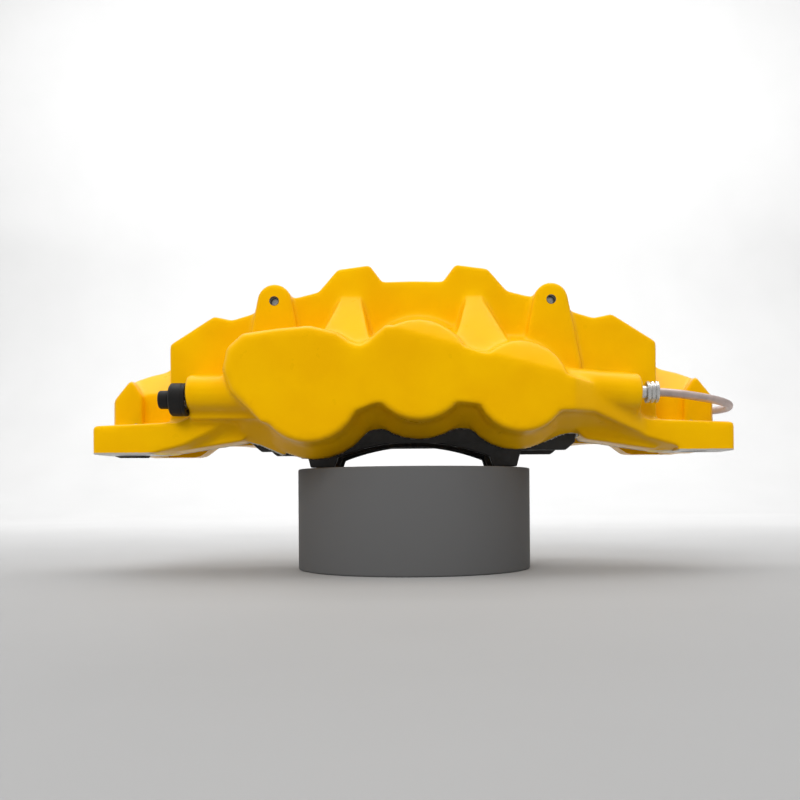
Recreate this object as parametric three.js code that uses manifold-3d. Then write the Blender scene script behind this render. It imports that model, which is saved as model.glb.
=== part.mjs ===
// Six-piston fixed disc-brake caliper with its pads, pins, bleeders and crossover pipe.
// Millimetres. X runs along the caliper, Y along the disc's axis with the car's side (inboard)
// at -Y, and Z radially outward. The pads' feet stand on Z = 0.
import * as THREE from 'three';
import { mergeVertices } from 'three/addons/utils/BufferGeometryUtils.js';
import Module from 'manifold-3d';

const wasm = await Module();
wasm.setup();

// ---- Driving dimensions -------------------------------------------------------------------
// Disc that the caliper straddles
const discAxisZ = -106;
const discSlotRadius = 196;
const discSlotHalf = 20;

// Body casting
const padSlotHalf = 35;
const padSlotHalfLength = 97.5;
const wallFace = 42;
const lobeFace = 75;
const shoulderFace = 72.3;
const armFace = 50;
const endBlockHalf = 22;
const endPillarFace = 27;
const earEndX = 184.5;
const earTopZ = 24.5;
const earUnderZ = 8;
const shoulderX = 142;
const archUnderZ = 97;

// Pistons: one row per bore, the same on both sides
const bores = [
  { x: -58, z: 41.7, radius: 19, faceRadius: 29, skirtRadius: 37 },
  { x: 3.3, z: 52.7, radius: 17, faceRadius: 28, skirtRadius: 36.5 },
  { x: 60, z: 43.4, radius: 15, faceRadius: 25.6, skirtRadius: 33.6 },
];
const boreBottom = 63;
const pistonBottom = 61;
const pistonNose = 34.9;
const pistonWall = 4;
const sealGroove = { from: 44, to: 48, depth: 3 };
const bootPocket = { depth: 4.5, width: 4 };
const gap = 0.3;

// Pads
const padHalfWidth = 95.5;
const liningInner = 17.3;
const liningOuter = 27.9;
const plateInner = 28.2;
const plateOuter = 33.7;
const shimInner = 34;
const shimOuter = 34.6;
const pin = { x: 80, z: 96, radius: 4, earRadius: 8.5, holeRadius: 4.5, punchRadius: 2.4 };

// Hydraulic line: one straight drilling through the three bores of each side
const lineY = 57;
const lineZ = 40;
const lineRadius = 2;
const bleed = { x: -127.5, z: 38.3 };
const pipePort = { x: 128.2, z: 40.7 };
const bossRadius = 10.5;
const portRadius = 5;
const pipeRadius = 2.4;
const pipeReachX = 195;
const inlet = { x: 109, y: -50.5, seatZ: 51, seatRadius: 7 };

// Mounting bolts, vertical through the two ears
const earBoltX = 165;
const earBoltY = -36;
const earBoltRadius = 7.6;

// Moves the whole caliper so that its bounding box is centred over the origin
const centreShiftX = -(pipeReachX + pipeRadius - earEndX) / 2;

const roundSegments = 20;
const bodySegments = 28;
const smallSegments = 12;

// ---- Materials ----------------------------------------------------------------------------
function paint(color, roughness, metalness) {
  return new THREE.MeshStandardMaterial({ color, roughness, metalness });
}

const yellowPaint = paint(0xf2b400, 0.3, 0.0);
const blackRubber = paint(0x2b2826, 0.7, 0.0);
const padBlack = paint(0x151515, 0.8, 0.1);
const friction = paint(0x2a2826, 0.95, 0.0);
const stainless = paint(0xb9b6b2, 0.35, 1.0);
const zincSteel = paint(0xd8d8d8, 0.3, 1.0);
const bareTube = paint(0xc2aea8, 0.35, 1.0);
const anodised = paint(0x9a9a98, 0.4, 0.8);
const plugRed = paint(0x7d1712, 0.5, 0.0);

// ---- Solid helpers ------------------------------------------------------------------------
function signedVolume(positions, index) {
  let volume = 0;
  const corner = (k) => new THREE.Vector3().fromArray(positions, 3 * index[k]);
  for (let i = 0; i < index.length; i += 3) {
    volume += corner(i).dot(corner(i + 1).cross(corner(i + 2)));
  }
  return volume;
}

// Closed three.js geometry to a manifold solid, with slivers on an axis dropped and faces outward
function solid(geometry) {
  const bare = geometry.clone();
  bare.deleteAttribute('normal');
  bare.deleteAttribute('uv');
  const merged = mergeVertices(bare, 1e-4);
  const positions = merged.attributes.position.array;
  const raw = merged.index.array;
  const kept = [];
  for (let i = 0; i < raw.length; i += 3) {
    const [a, b, c] = [raw[i], raw[i + 1], raw[i + 2]];
    if (a !== b && b !== c && c !== a) {
      kept.push(a, b, c);
    }
  }
  if (signedVolume(positions, kept) < 0) {
    kept.reverse();
  }
  return new wasm.Manifold(new wasm.Mesh({
    numProp: 3,
    vertProperties: new Float32Array(positions),
    triVerts: new Uint32Array(kept),
  }));
}

function joined(parts) {
  return parts.reduce((sum, part) => sum.add(part));
}

function without(base, cuts) {
  return cuts.reduce((left, cut) => left.subtract(cut), base);
}

function geometryOf(manifold) {
  const { vertProperties, triVerts } = manifold.getMesh();
  const geometry = new THREE.BufferGeometry();
  geometry.setAttribute('position', new THREE.BufferAttribute(new Float32Array(vertProperties), 3));
  geometry.setIndex(new THREE.BufferAttribute(new Uint32Array(triVerts), 1));
  geometry.computeVertexNormals();
  return geometry;
}

function shapeOf(outline) {
  if (outline instanceof THREE.Shape) {
    return outline;
  }
  return new THREE.Shape(outline.map(([a, b]) => new THREE.Vector2(a, b)));
}

// Outline drawn in X-Z, running from yStart to yEnd
function prismY(outline, yStart, yEnd, curveSegments = 10) {
  const options = { depth: yEnd - yStart, bevelEnabled: false, curveSegments };
  const geometry = new THREE.ExtrudeGeometry(shapeOf(outline), options);
  geometry.rotateX(Math.PI / 2);
  geometry.translate(0, yEnd, 0);
  return geometry;
}

// Outline drawn in X-Y, running from zStart to zEnd
function prismZ(outline, zStart, zEnd) {
  const geometry = new THREE.ExtrudeGeometry(shapeOf(outline), {
    depth: zEnd - zStart,
    bevelEnabled: false,
  });
  geometry.translate(0, 0, zStart);
  return geometry;
}

// Outline drawn in Y-Z, running from xStart to xEnd
function prismX(outline, xStart, xEnd) {
  const geometry = prismZ(outline, xStart, xEnd);
  geometry.applyMatrix4(new THREE.Matrix4().makeBasis(
    new THREE.Vector3(0, 1, 0),
    new THREE.Vector3(0, 0, 1),
    new THREE.Vector3(1, 0, 0),
  ));
  return geometry;
}

// Skin between two X-Z outlines with the same number of points
function loftY(near, yNear, far, yFar) {
  const geometry = prismY(near, yNear, yFar);
  const position = geometry.attributes.position;
  for (let i = 0; i < position.count; i += 1) {
    if (Math.abs(position.getY(i) - yFar) < 1e-3) {
      const place = near.findIndex(([x, z]) => (
        Math.hypot(x - position.getX(i), z - position.getZ(i)) < 1e-3
      ));
      position.setXYZ(i, far[place][0], yFar, far[place][1]);
    }
  }
  return geometry;
}

// Six-sided block with its own four X-Y corners at the bottom and at the top
function wedgeZ(bottom, zBottom, top, zTop) {
  const geometry = new THREE.BoxGeometry(2, 2, 2);
  const position = geometry.attributes.position;
  for (let i = 0; i < position.count; i += 1) {
    const [sx, sy, sz] = [position.getX(i), position.getY(i), position.getZ(i)];
    const ring = sz > 0 ? top : bottom;
    const corner = (sy < 0 ? [0, 1] : [3, 2])[sx < 0 ? 0 : 1];
    position.setXYZ(i, ring[corner][0], ring[corner][1], sz > 0 ? zTop : zBottom);
  }
  return geometry;
}

function box(x0, x1, y0, y1, z0, z1) {
  const geometry = new THREE.BoxGeometry(x1 - x0, y1 - y0, z1 - z0);
  geometry.translate((x0 + x1) / 2, (y0 + y1) / 2, (z0 + z1) / 2);
  return geometry;
}

function rodX(radius, x0, x1, y, z, segments = roundSegments) {
  const geometry = new THREE.CylinderGeometry(radius, radius, x1 - x0, segments);
  geometry.rotateZ(Math.PI / 2);
  geometry.translate((x0 + x1) / 2, y, z);
  return geometry;
}

function rodY(radius, y0, y1, x, z, segments = roundSegments) {
  const geometry = new THREE.CylinderGeometry(radius, radius, y1 - y0, segments);
  geometry.translate(x, (y0 + y1) / 2, z);
  return geometry;
}

function rodZ(radius, z0, z1, x, y, segments = roundSegments) {
  const geometry = new THREE.CylinderGeometry(radius, radius, z1 - z0, segments);
  geometry.rotateX(Math.PI / 2);
  geometry.translate(x, y, (z0 + z1) / 2);
  return geometry;
}

// Profile of [radius, distance along the axis], turned about Y
function turned(profile, segments = roundSegments) {
  return new THREE.LatheGeometry(profile.map(([r, a]) => new THREE.Vector2(r, a)), segments);
}

function ring(inner, outer, from, to, segments = roundSegments) {
  return turned([[inner, from], [outer, from], [outer, to], [inner, to], [inner, from]], segments);
}

// Right half of an outline, from the top centre round to the bottom centre, made whole
function bothHalves(half) {
  const left = half.filter(([x]) => x > 0).map(([x, z]) => [-x, z]).reverse();
  return [...half, ...left];
}

function flipX(outline) {
  return outline.map(([x, y]) => [-x, y]).reverse();
}

// ---- Body casting -------------------------------------------------------------------------
const crownHalf = [
  [0, 108.5], [17.7, 108.1], [25, 118], [43.8, 115.4], [55, 102.4], [69, 98.9],
  [92, 90.4], [105.5, 86.3], [116.1, 88.6], [shoulderX, 72.1], [shoulderX, 9],
  [100, 15.4], [94, 22], [60, 26], [0, 26],
];
const archOutline = [
  [20, archUnderZ], [20, 111.2], [25, 118], [43.8, 115.4], [50, 108.2], [50, archUnderZ],
];
const endBlockOutline = [
  [shoulderX - 1, 68], [147, 65.5], [154, 60.6], [163, 58], [170.6, 54.6], [181.2, 41.5],
  [181.2, 9], [shoulderX - 1, 9],
];
// Outer part of the end block that stands nearer the inboard face
const endPillarOutline = [
  [162, 9], [162, 43.2], [167.7, 52], [169.6, 53.6], [179.2, 41.2], [179.2, 9],
];
const armTop = [
  [earEndX, earUnderZ], [earEndX, earTopZ], [136, 26.5], [127, 30], [127, 47], [94, 50],
];
// Underside of each arm at its front face, from the lobe out to the ear
const leftArmUnder = [
  [94, 36], [100, 32.3], [111, 25], [122.8, 18.2], [134, 12.5], [145.8, 9.4], [150, earUnderZ],
];
const rightArmUnder = [
  [94, 32], [101, 29.2], [112.5, 24.2], [124, 19.9], [135.5, 15.7], [147, 12.2], [158, earUnderZ],
];
// Lower edge of the inboard side at the pad slot's wall, from beside the end lobes out to the ears
const leftSlotEdge = [
  [75.6, 5.9], [83, 9.4], [90.6, 12.9], [100.2, 15], [112.4, 13.3], [132.8, 10.2], [149.2, 8.5],
  [153, earUnderZ],
];
const rightSlotEdge = [
  [76.4, 13.3], [87.3, 18], [92.7, 19], [111.8, 17.2], [130.9, 12.9], [150, 8.4],
  [158, earUnderZ],
];
// The same edge in the valleys between the lobes
const firstValley = [[-40, 10], [-32, 16.6], [-25.3, 21.2], [-18.5, 22.2], [-11.6, 20.2], [-3.5, 17]];
const secondValley = [[8.3, 16.2], [19.2, 20.2], [26, 22.2], [32.8, 21.8], [41, 17.3], [49.1, 12.5]];
// Flat face that joins the three lobes on the inboard side
const inboardWeb = [
  [-84, 24], [-98, 42], [-102.4, 52.6], [-100, 63.5], [-92.5, 70.6], [-75, 73.4], [-57, 75],
  [-43, 71.5], [-35.5, 66.2], [-29.5, 64.4], [-24, 66.8], [-14.2, 75.5], [3.3, 71.3], [35, 62.7],
  [85.4, 49.1],
  [104, 44.1], [130.5, 37], [130.5, 26], [141, 24], [141, 14.2], [124, 20.2], [101, 29],
  [86.5, 29.4], [60, 30], [28.5, 33.9], [3.3, 36], [-21.3, 33.8], [-58, 20],
];
// The same face further back, where its rounded upper edge ends
const inboardShoulder = [
  [-84, 24], [-101, 40.8], [-105.6, 52.8], [-102.8, 65.4], [-94, 73.2], [-75.6, 75.8],
  [-57, 77.4], [-42, 73.9], [-35, 68.9], [-29.5, 66.9], [-25, 69.2], [-14.6, 78], [4, 73.8],
  [35, 62.7], ...inboardWeb.slice(14),
];
const outboardWeb = bothHalves([
  [0, 88], [60, 79], [96, 68], [121, 44], [121, 22], [108, 16.5], [0, 18],
]);
// Space below the outboard side, between its two feet
const underOutboard = [[-139, 0], [-139, 9], [-129, 16.4], [129, 16.4], [139, 9], [139, 0]];
const crestLine = { atCentre: 72.2, slope: -0.27, lean: 0.6 };

// Swollen housing round one bore, from the slot's wall out to the lobe's face
function boreLobe({ x, z, faceRadius, skirtRadius }, side) {
  const profile = [
    [0, lobeFace], [faceRadius - 1.7, lobeFace], [faceRadius, lobeFace - 2],
    [faceRadius + 1, lobeFace - 22], [skirtRadius, padSlotHalf + 5], [skirtRadius, padSlotHalf],
    [0, padSlotHalf],
  ].map(([r, y]) => [r, side * y]);
  const geometry = turned(profile, bodySegments);
  geometry.translate(x, 0, z);
  return solid(geometry);
}

// Cavity for one piston with its seal groove and boot pocket
function boreCut({ x, z, radius }, side) {
  const wide = radius + gap;
  const profile = [
    [0, padSlotHalf - 5], [radius + bootPocket.width, padSlotHalf - 5],
    [radius + bootPocket.width, padSlotHalf + bootPocket.depth],
    [wide, padSlotHalf + bootPocket.depth], [wide, sealGroove.from],
    [wide + sealGroove.depth, sealGroove.from], [wide + sealGroove.depth, sealGroove.to],
    [wide, sealGroove.to], [wide, boreBottom], [0, boreBottom],
  ].map(([r, y]) => [r, side * y]);
  const geometry = turned(profile);
  geometry.translate(x, 0, z);
  return solid(geometry);
}

// Sloping back of lobes two and three, above the straight rib of the inboard face
function crestCut() {
  const { atCentre, slope, lean } = crestLine;
  const [below, above] = [10, 23];
  const geometry = prismX([
    [-lobeFace - lean * below, atCentre - below],
    [-lobeFace + lean * above, atCentre + above],
    [-lobeFace - lean * below, atCentre + above],
  ], -14, 134);
  geometry.applyMatrix4(new THREE.Matrix4().set(
    1, 0, 0, 0,
    0, 1, 0, 0,
    slope, 0, 1, 0,
    0, 0, 0, 1,
  ));
  return solid(geometry);
}

// Tapering rib that carries the valley between two lobes up to an arch
function buttress(x0, x1, topX0, topX1, side, footY0 = -71, footY1 = -71) {
  const foot = [[x0, footY0], [x1, footY1], [x1 + 2, -36], [x0 - 2, -36]];
  const head = [[topX0, -wallFace - 1], [topX1, -wallFace - 1], [topX1, -36], [topX0, -36]];
  const geometry = wedgeZ(foot, 60, head, 99);
  if (side > 0) {
    geometry.rotateZ(Math.PI);
  }
  return solid(geometry);
}

function pinLug(x, side) {
  const shape = new THREE.Shape();
  shape.absarc(x, pin.z, 10, 0.15, Math.PI - 0.15, false);
  shape.lineTo(x - 18, 56);
  shape.lineTo(x + 18, 56);
  const [near, far] = side < 0 ? [-47, -padSlotHalf] : [padSlotHalf, 47];
  return solid(prismY(shape, near, far));
}

// Boss for a bleed screw, with a web below it that meets the arm
function bleedBoss(side) {
  const y = side * lineY;
  const [near, far] = side < 0 ? [y, -wallFace + 1] : [wallFace - 1, y];
  return solid(rodX(bossRadius, bleed.x, -80, y, 41.8))
    .add(solid(box(bleed.x, -80, near, far, 27, 52)));
}

// Boss for a pipe nut, rising a little towards the lobe beside it
function pipeBoss(side) {
  const y = side * lineY;
  const [near, far] = side < 0 ? [y, -wallFace + 1] : [wallFace - 1, y];
  const round = rodX(bossRadius, 75, 140, 0, 0);
  round.rotateY(0.09);
  round.translate(0, y, 52.3);
  const filler = solid(box(75, 140, near, far, 29, 55)).subtract(
    solid(prismY([[70, 56.5], [150, 49.3], [150, 70], [70, 70]], -70, 70)),
  );
  const beyondEnd = solid(box(pipePort.x, 150, -80, 80, 20, 70));
  return solid(round).add(filler).subtract(beyondEnd);
}

function endBlock(direction) {
  const outline = direction > 0 ? endBlockOutline : flipX(endBlockOutline);
  const block = solid(prismY(outline, -endBlockHalf, endBlockHalf));
  const facet = prismX([[-23, 44], [-5, 61], [-5, 80], [-23, 80]], shoulderX - 8, 170.6);
  const crease = { z: 54.6, lean: 0.72 };
  facet.applyMatrix4(new THREE.Matrix4().set(
    1, 0, crease.lean, -crease.lean * crease.z,
    0, 1, 0, 0,
    0, 0, 1, 0,
    0, 0, 0, 1,
  ));
  if (direction < 0) {
    facet.scale(-1, 1, 1);
  }
  const pillar = direction > 0 ? endPillarOutline : flipX(endPillarOutline);
  return block.subtract(solid(facet)).add(solid(prismY(pillar, -endPillarFace, 1 - endBlockHalf)));
}

function heightAt(edge, x) {
  const next = Math.max(1, edge.findIndex(([edgeX]) => edgeX >= x));
  const [x0, z0] = edge[next - 1];
  const [x1, z1] = edge[next];
  return z0 + ((z1 - z0) * (x - x0)) / (x1 - x0);
}

// Filling between neighbouring lobes, or a lobe and an arm, that flares down to the slot's edge
function skirtWeb(slotEdge, { frontZ, topZ }) {
  const [first, last] = [slotEdge[0][0], slotEdge[slotEdge.length - 1][0]];
  const top = [[last, topZ], [first, topZ]];
  const front = slotEdge.map(([x]) => [x, frontZ]);
  return solid(loftY([...front, ...top], -lobeFace + 15, [...slotEdge, ...top], -padSlotHalf));
}

function mountingArm(direction) {
  const turn = direction > 0 ? (outline) => outline : flipX;
  const under = direction > 0 ? rightArmUnder : leftArmUnder;
  const slotEdge = direction > 0 ? rightSlotEdge : leftSlotEdge;
  const slotUnder = under.map(([x, z]) => [x, Math.min(z, heightAt(slotEdge, x))]);
  const arm = solid(loftY(
    turn([...armTop, ...under]), -armFace, turn([...armTop, ...slotUnder]), -padSlotHalf,
  ));
  const [x0, x1] = direction > 0 ? [141, earEndX] : [-earEndX, -141];
  return arm.add(solid(box(x0, x1, -padSlotHalf - 1, -endBlockHalf + 1, earUnderZ, earTopZ)));
}

function outboardFoot(direction) {
  const [x0, x1] = direction > 0 ? [shoulderX - 1, 175] : [-175, 1 - shoulderX];
  return solid(box(x0, x1, endBlockHalf - 1, wallFace, 9, 26));
}

function caliperBody() {
  const crown = solid(prismY(bothHalves(crownHalf), -wallFace, wallFace));
  const padSlot = solid(box(
    -padSlotHalfLength, padSlotHalfLength, -padSlotHalf, padSlotHalf, -20, 140,
  ));
  const rampCut = solid(prismZ(
    [[88, -lobeFace], [134, -armFace], [150, -armFace], [150, -95], [88, -95]], 0, 60,
  ));
  const inboardFace = solid(loftY(inboardWeb, -lobeFace, inboardShoulder, -shoulderFace))
    .add(solid(prismY(inboardShoulder, -shoulderFace, -wallFace + 1)))
    .subtract(rampCut);
  const outboardInner = outboardWeb.map(([x, z]) => [x * 1.03, 45 + (z - 45) * 1.06]);
  const outboardFace = solid(loftY(outboardInner, wallFace - 1, outboardWeb, lobeFace - 8));
  const outside = joined([
    crown,
    ...bores.map((bore) => boreLobe(bore, -1)),
    inboardFace,
  ]).subtract(crestCut());
  const shell = joined([
    outside,
    buttress(-58, -22, -41.5, -30, -1),
    buttress(21, 59, 31, 40, -1, -74, -66.5),
    skirtWeb(firstValley, { frontZ: 33.8, topZ: 48 }),
    skirtWeb(secondValley, { frontZ: 33.8, topZ: 48 }),
    skirtWeb(flipX(leftSlotEdge.slice(0, 4)), { frontZ: 33, topZ: 46 }),
    skirtWeb(rightSlotEdge.slice(0, 4), { frontZ: 31, topZ: 42 }),
    outboardFace,
    ...bores.map((bore) => boreLobe(bore, 1)),
    buttress(-59, -21, -40, -31, 1),
    buttress(22, 58, 30, 41.5, 1),
    pinLug(-pin.x, -1),
    pinLug(pin.x, -1),
    pinLug(-pin.x, 1),
    pinLug(pin.x, 1),
    bleedBoss(-1),
    bleedBoss(1),
    pipeBoss(-1),
    pipeBoss(1),
    endBlock(-1),
    endBlock(1),
    mountingArm(-1),
    mountingArm(1),
    outboardFoot(-1),
    outboardFoot(1),
  ]).subtract(padSlot);
  const arches = joined([
    solid(prismY(archOutline, -padSlotHalf - 1, padSlotHalf + 1)),
    solid(prismY(flipX(archOutline), -padSlotHalf - 1, padSlotHalf + 1)),
  ]);
  const cuts = [
    solid(rodY(discSlotRadius, -discSlotHalf, discSlotHalf, 0, discAxisZ, 72)),
    ...bores.map((bore) => boreCut(bore, -1)),
    ...bores.map((bore) => boreCut(bore, 1)),
    solid(rodZ(portRadius, lineZ - 2, 70, inlet.x, inlet.y, smallSegments)),
    solid(prismY(underOutboard, discSlotHalf, lobeFace)),
    solid(rodZ(inlet.seatRadius, inlet.seatZ, 70, inlet.x, inlet.y)),
    solid(rodZ(earBoltRadius, 0, 40, earBoltX, earBoltY)),
    solid(rodZ(earBoltRadius, 0, 40, -earBoltX, earBoltY)),
  ];
  for (const side of [-1, 1]) {
    const y = side * lineY;
    cuts.push(solid(rodX(lineRadius, bleed.x, pipePort.x, y, lineZ, 6)));
    cuts.push(solid(rodX(portRadius, bleed.x - 5, bleed.x + 17, y, bleed.z, smallSegments)));
    cuts.push(solid(rodX(portRadius, pipePort.x - 17, pipePort.x + 5, y, pipePort.z, smallSegments)));
  }
  for (const x of [-pin.x, pin.x]) {
    cuts.push(solid(rodY(pin.radius + gap, -padSlotHalf - 8, 60, x, pin.z, smallSegments)));
    cuts.push(solid(rodY(pin.punchRadius, -60, -padSlotHalf, x, pin.z, smallSegments)));
  }
  return without(shell.add(arches), cuts);
}

// ---- Pistons, seals and boots -------------------------------------------------------------
function piston({ radius }) {
  return solid(turned([
    [0, pistonBottom], [radius - 1, pistonBottom], [radius, pistonBottom - 1],
    [radius, pistonNose], [radius - pistonWall, pistonNose], [radius - pistonWall, 53], [0, 53],
  ]));
}

function pistonSeal({ radius }) {
  const { from, to, depth } = sealGroove;
  return solid(ring(radius + gap, radius + depth, from + gap, to - gap));
}

function dustBoot({ radius }) {
  const [mouth, back] = [padSlotHalf + gap, padSlotHalf + bootPocket.depth - gap];
  const outer = radius + bootPocket.width - gap;
  const inner = radius + gap;
  return solid(turned([
    [inner, mouth], [inner + 1.2, mouth], [outer, mouth + 1.2], [outer, back], [inner, back],
    [inner, mouth],
  ]));
}

// ---- Pads ---------------------------------------------------------------------------------
const padUnderside = [
  [padHalfWidth, 14.4], [91.6, 10.8], [90, 9.6], [63.5, 9.6], [61, 0], [47, 0], [45, 6],
];
const padArchTop = 14.8;

function traceUnderside(shape, lift) {
  for (const [x, z] of padUnderside) {
    shape.lineTo(x, z + lift);
  }
  shape.quadraticCurveTo(0, 2 * padArchTop - 6 + lift, -45, 6 + lift);
  for (const [x, z] of [...padUnderside].reverse()) {
    shape.lineTo(-x, z + lift);
  }
}

function backingPlate() {
  const shape = new THREE.Shape();
  shape.moveTo(58, 88);
  shape.lineTo(66, 88);
  shape.absarc(pin.x, pin.z, pin.earRadius, Math.PI - 0.35, 0.1, true);
  shape.lineTo(padHalfWidth, 76);
  traceUnderside(shape, 0);
  shape.lineTo(-padHalfWidth, 76);
  shape.absarc(-pin.x, pin.z, pin.earRadius, Math.PI - 0.1, 0.35, true);
  shape.lineTo(-66, 88);
  shape.lineTo(-58, 88);
  const pinHoles = [-pin.x, pin.x].map((x) => (
    solid(rodY(pin.holeRadius, plateInner - 1, plateOuter + 1, x, pin.z, smallSegments))
  ));
  return without(solid(prismY(shape, plateInner, plateOuter, 8)), pinHoles);
}

function frictionLining() {
  const reach = 188;
  const edge = Math.asin(88 / reach);
  const shape = new THREE.Shape();
  shape.absarc(0, discAxisZ, reach, Math.PI / 2 + edge, Math.PI / 2 - edge, true);
  shape.lineTo(91, 50);
  shape.lineTo(91, 18);
  shape.lineTo(62, 9.5);
  shape.lineTo(60, 1.5);
  shape.lineTo(48, 1.5);
  shape.lineTo(46, 8);
  shape.quadraticCurveTo(0, 2 * padArchTop - 4, -46, 8);
  shape.lineTo(-48, 1.5);
  shape.lineTo(-60, 1.5);
  shape.lineTo(-62, 9.5);
  shape.lineTo(-91, 18);
  shape.lineTo(-91, 50);
  const lining = solid(prismY(shape, liningInner, liningOuter, 8));
  const wearGroove = solid(box(-1.5, 1.5, liningInner - 1, liningInner + 7, -5, 100));
  return lining.subtract(wearGroove);
}

function padShim() {
  return solid(prismY([
    [-54, 86], [54, 86], [70, 80], [90, 70], [90, 20], [70, 14], [-70, 14], [-90, 20],
    [-90, 70], [-70, 80],
  ], shimInner, shimOuter));
}

function padPin() {
  return solid(turned([
    [0, -41.6], [2.6, -41.6], [pin.radius, -40], [pin.radius, 46], [3.2, 47.2], [0, 47.2],
  ], smallSegments));
}

// Leaf spring: a strip along the pads' tops, with two wings that press on each pad
function padSpring() {
  const thickness = 0.8;
  const upper = [
    [-90, 89.4], [-84, 91.5], [-72, 91.5], [-58, 89.6], [-40, 91.8], [-18, 92.6], [18, 92.6],
    [40, 91.8], [58, 89.6], [72, 91.5], [84, 91.5], [90, 89.4],
  ];
  const lower = upper.map(([x, z]) => [x, z - thickness]).reverse();
  const strip = solid(prismY([...upper, ...lower], -33, 33));
  const waist = [];
  for (const side of [-1, 1]) {
    const [y0, y1] = side < 0 ? [-40, -15.5] : [15.5, 40];
    waist.push(solid(box(61, 95, y0, y1, 80, 100)));
    waist.push(solid(box(-95, -61, y0, y1, 80, 100)));
    waist.push(solid(box(-22, 22, y0, y1, 80, 100)));
  }
  waist.push(solid(box(-12, 12, -9, 9, 80, 100)));
  waist.push(solid(box(26, 48, -9, 9, 80, 100)));
  waist.push(solid(box(-48, -26, -9, 9, 80, 100)));
  return without(strip, waist);
}

function abutmentPlate() {
  return solid(box(padHalfWidth + 0.4, padSlotHalfLength - 0.4, 21, padSlotHalf - 0.5, 17, 63));
}

// ---- Hydraulic fittings -------------------------------------------------------------------
// Fittings are turned about Y with the outside at +Y, and set in place by one of these turns
const towardsRight = [0, 0, -Math.PI / 2];
const towardsLeft = [0, 0, Math.PI / 2];
const upright = [Math.PI / 2, 0, 0];

function hexagon(acrossFlats, from, to) {
  const geometry = new THREE.CylinderGeometry(
    acrossFlats / Math.sqrt(3), acrossFlats / Math.sqrt(3), to - from, 6,
  );
  geometry.translate(0, (from + to) / 2, 0);
  return solid(geometry);
}

function bleedScrew() {
  const shank = solid(turned([
    [0, -15.5], [1.2, -15.5], [portRadius - gap, -12], [portRadius - gap, -1], [3.6, -1],
    [3.6, 9], [2.6, 10.5], [3.4, 12.2], [2.6, 15], [0, 15],
  ], smallSegments));
  const waterway = solid(rodY(1.1, -6, 16, 0, 0, 6));
  return shank.add(hexagon(11, 0.6, 7.2)).subtract(waterway);
}

function bleedCap() {
  return solid(turned([
    [9.4, 0.5], [9.4, 9], [8.8, 9.8], [5.3, 9.8], [5.2, 15.8], [0, 16.4], [0, 15.4],
    [3.9, 15.4], [3.9, 8.6], [7, 8.6], [7, 0.5], [9.4, 0.5],
  ], 16));
}

function pipeNut() {
  const core = solid(turned([
    [0, -13], [portRadius - gap, -13], [portRadius - gap, -0.5], [3.9, 0], [3.9, 3.1],
    [5.2, 3.3], [5.2, 10.4], [0, 10.4],
  ], smallSegments));
  const bands = [3.2, 5.7, 8.2].map((from) => hexagon(11, from, from + 2.1));
  const bore = solid(rodY(pipeRadius + 2 * gap, -20, 20, 0, 0, smallSegments));
  return joined([core, ...bands]).subtract(bore);
}

function crossoverPipe() {
  const halfPlan = [
    [118, lineY, 0], [130, lineY, 0], [142, lineY, 0.2], [155, 55.5, 1.4], [174, 44.5, 3.1],
    [189.5, 24, 4.2],
  ];
  const route = [
    ...halfPlan.map(([x, y, sag]) => [x, -y, sag]),
    [pipeReachX, 0, 4.6],
    ...[...halfPlan].reverse(),
  ];
  const path = new THREE.CatmullRomCurve3(
    route.map(([x, y, sag]) => new THREE.Vector3(x, y, pipePort.z - sag)), false, 'centripetal',
  );
  const section = new THREE.Shape();
  section.absarc(0, 0, pipeRadius, 0, 2 * Math.PI, false);
  return solid(new THREE.ExtrudeGeometry(section, {
    steps: 36, bevelEnabled: false, curveSegments: 4, extrudePath: path,
  }));
}

function inletPlug() {
  const plug = solid(turned([
    [0, -8], [portRadius - gap, -8], [portRadius - gap, 0], [0, 0],
  ], smallSegments));
  return plug.subtract(hexagon(4, -4, 2));
}

function boltInsert() {
  return solid(ring(5.4, earBoltRadius - gap, earUnderZ + 0.4, earTopZ - 0.4, 20));
}

// ---- Assembly -----------------------------------------------------------------------------
const caliper = new THREE.Group();
caliper.position.set(centreShiftX, 0, 0);

function place(parent, name, manifold, material, position = [0, 0, 0], turn = [0, 0, 0]) {
  const mesh = new THREE.Mesh(geometryOf(manifold), material);
  mesh.name = name;
  mesh.position.set(...position);
  mesh.rotation.set(...turn);
  parent.add(mesh);
}

place(caliper, 'caliper_body', caliperBody(), yellowPaint);

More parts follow.
